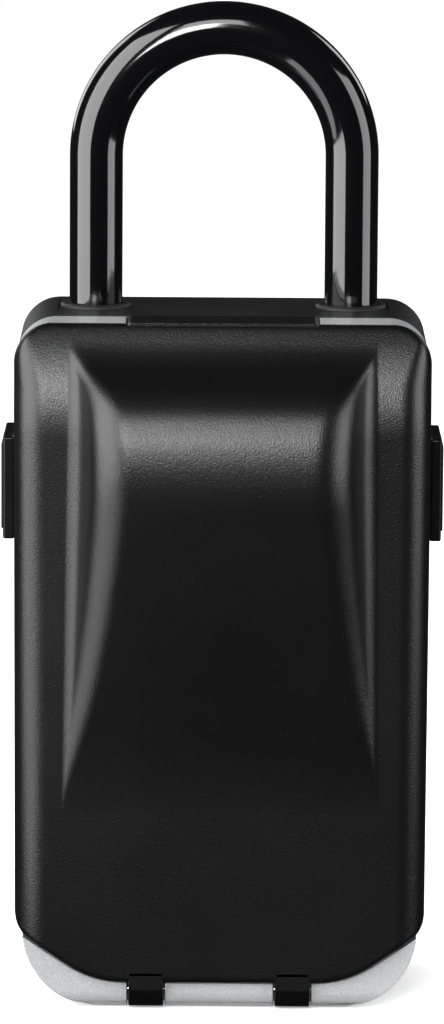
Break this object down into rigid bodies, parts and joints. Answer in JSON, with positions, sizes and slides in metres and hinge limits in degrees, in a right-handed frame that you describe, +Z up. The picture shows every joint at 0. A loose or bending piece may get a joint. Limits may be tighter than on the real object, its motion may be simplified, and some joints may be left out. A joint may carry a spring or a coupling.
{
  "type": "portable key safe",
  "caption": "Portable key safe with a coated shackle, a number-wheel lock behind a hinged weather cover, and a front door on a space for keys.",
  "frame": {"origin": "middle of the overall box at the level of the foot, on which the safe stands", "axes": "+X to the right seen from the front, +Y to the back, +Z up along the shackle"},
  "size_m": [0.0882, 0.0604, 0.2002],
  "materials": {
    "black_paint": "satin",
    "boot_black": "matt",
    "seal_rubber": "matt",
    "pin_steel": "bright",
    "plate_steel": "zinc plated",
    "shackle_steel": "bright",
    "vinyl_black": "gloss",
    "lever_black": "satin",
    "silver_paint": "fine grained satin",
    "wheel_black": "satin",
    "hub_brass": "satin",
    "cover_black": "satin with a fine grain"
  },
  "bodies": {
    "housing": {"rear_housing": "black_paint", "rear_jacket": "boot_black", "shackle_seals": "seal_rubber", "door_gasket": "seal_rubber", "door_hinge_pin": "pin_steel", "bar_retainer": "plate_steel", "retainer_screws": "pin_steel"},
    "shackle": {"shackle_core": "shackle_steel", "shackle_sleeve": "vinyl_black"},
    "shackle_lock": {"lock_bar": "plate_steel", "release_tab": "lever_black"},
    "door": {"door_casting": "silver_paint", "dial_shaft": "pin_steel", "detent_spring": "plate_steel", "door_back_cover": "silver_paint", "back_cover_screws": "pin_steel", "cover_hinge_pins": "pin_steel"},
    "latch": {"latch_plate": "plate_steel", "side_lever_left": "lever_black", "side_lever_right": "lever_black"},
    "dial_1": {"number_wheel_1": "wheel_black", "dial_hub_1": "hub_brass"},
    "dial_2": {"number_wheel_2": "wheel_black", "dial_hub_2": "hub_brass"},
    "dial_3": {"number_wheel_3": "wheel_black", "dial_hub_3": "hub_brass"},
    "dial_4": {"number_wheel_4": "wheel_black", "dial_hub_4": "hub_brass"},
    "cover": {"weather_cover": "cover_black"},
    "reset": {"reset_lever": "lever_black"}
  },
  "joints": [
    {"name": "shackle_lift", "type": "slide", "parent": "housing", "child": "shackle", "axis": [0, 0, 1], "range_m": [0, 0.023]},
    {"name": "lock_bar_slide", "type": "slide", "parent": "housing", "child": "shackle_lock", "axis": [1, 0, 0], "range_m": [0, 0.004]},
    {"name": "door_swing", "type": "hinge", "parent": "housing", "child": "door", "pos_m": [0, -0.00495, 0.0032], "axis": [1, 0, 0], "range_deg": [0, 90]},
    {"name": "latch_slide", "type": "slide", "parent": "door", "child": "latch", "axis": [0, 0, 1], "range_m": [0, 0.005]},
    {"name": "cover_swing", "type": "hinge", "parent": "door", "child": "cover", "pos_m": [0, -0.01425, 0.0037], "axis": [1, 0, 0], "range_deg": [0, 130]},
    {"name": "reset_turn", "type": "hinge", "parent": "door", "child": "reset", "pos_m": [0, -0.0008, 0.06], "axis": [0, 1, 0], "range_deg": [0, 45]},
    {"name": "dial_1_turn", "type": "hinge", "parent": "door", "child": "dial_1", "pos_m": [0, -0.0171, 0.104], "axis": [1, 0, 0], "continuous": true},
    {"name": "dial_2_turn", "type": "hinge", "parent": "door", "child": "dial_2", "pos_m": [0, -0.0171, 0.104], "axis": [1, 0, 0], "continuous": true},
    {"name": "dial_3_turn", "type": "hinge", "parent": "door", "child": "dial_3", "pos_m": [0, -0.0171, 0.104], "axis": [1, 0, 0], "continuous": true},
    {"name": "dial_4_turn", "type": "hinge", "parent": "door", "child": "dial_4", "pos_m": [0, -0.0171, 0.104], "axis": [1, 0, 0], "continuous": true}
  ]
}
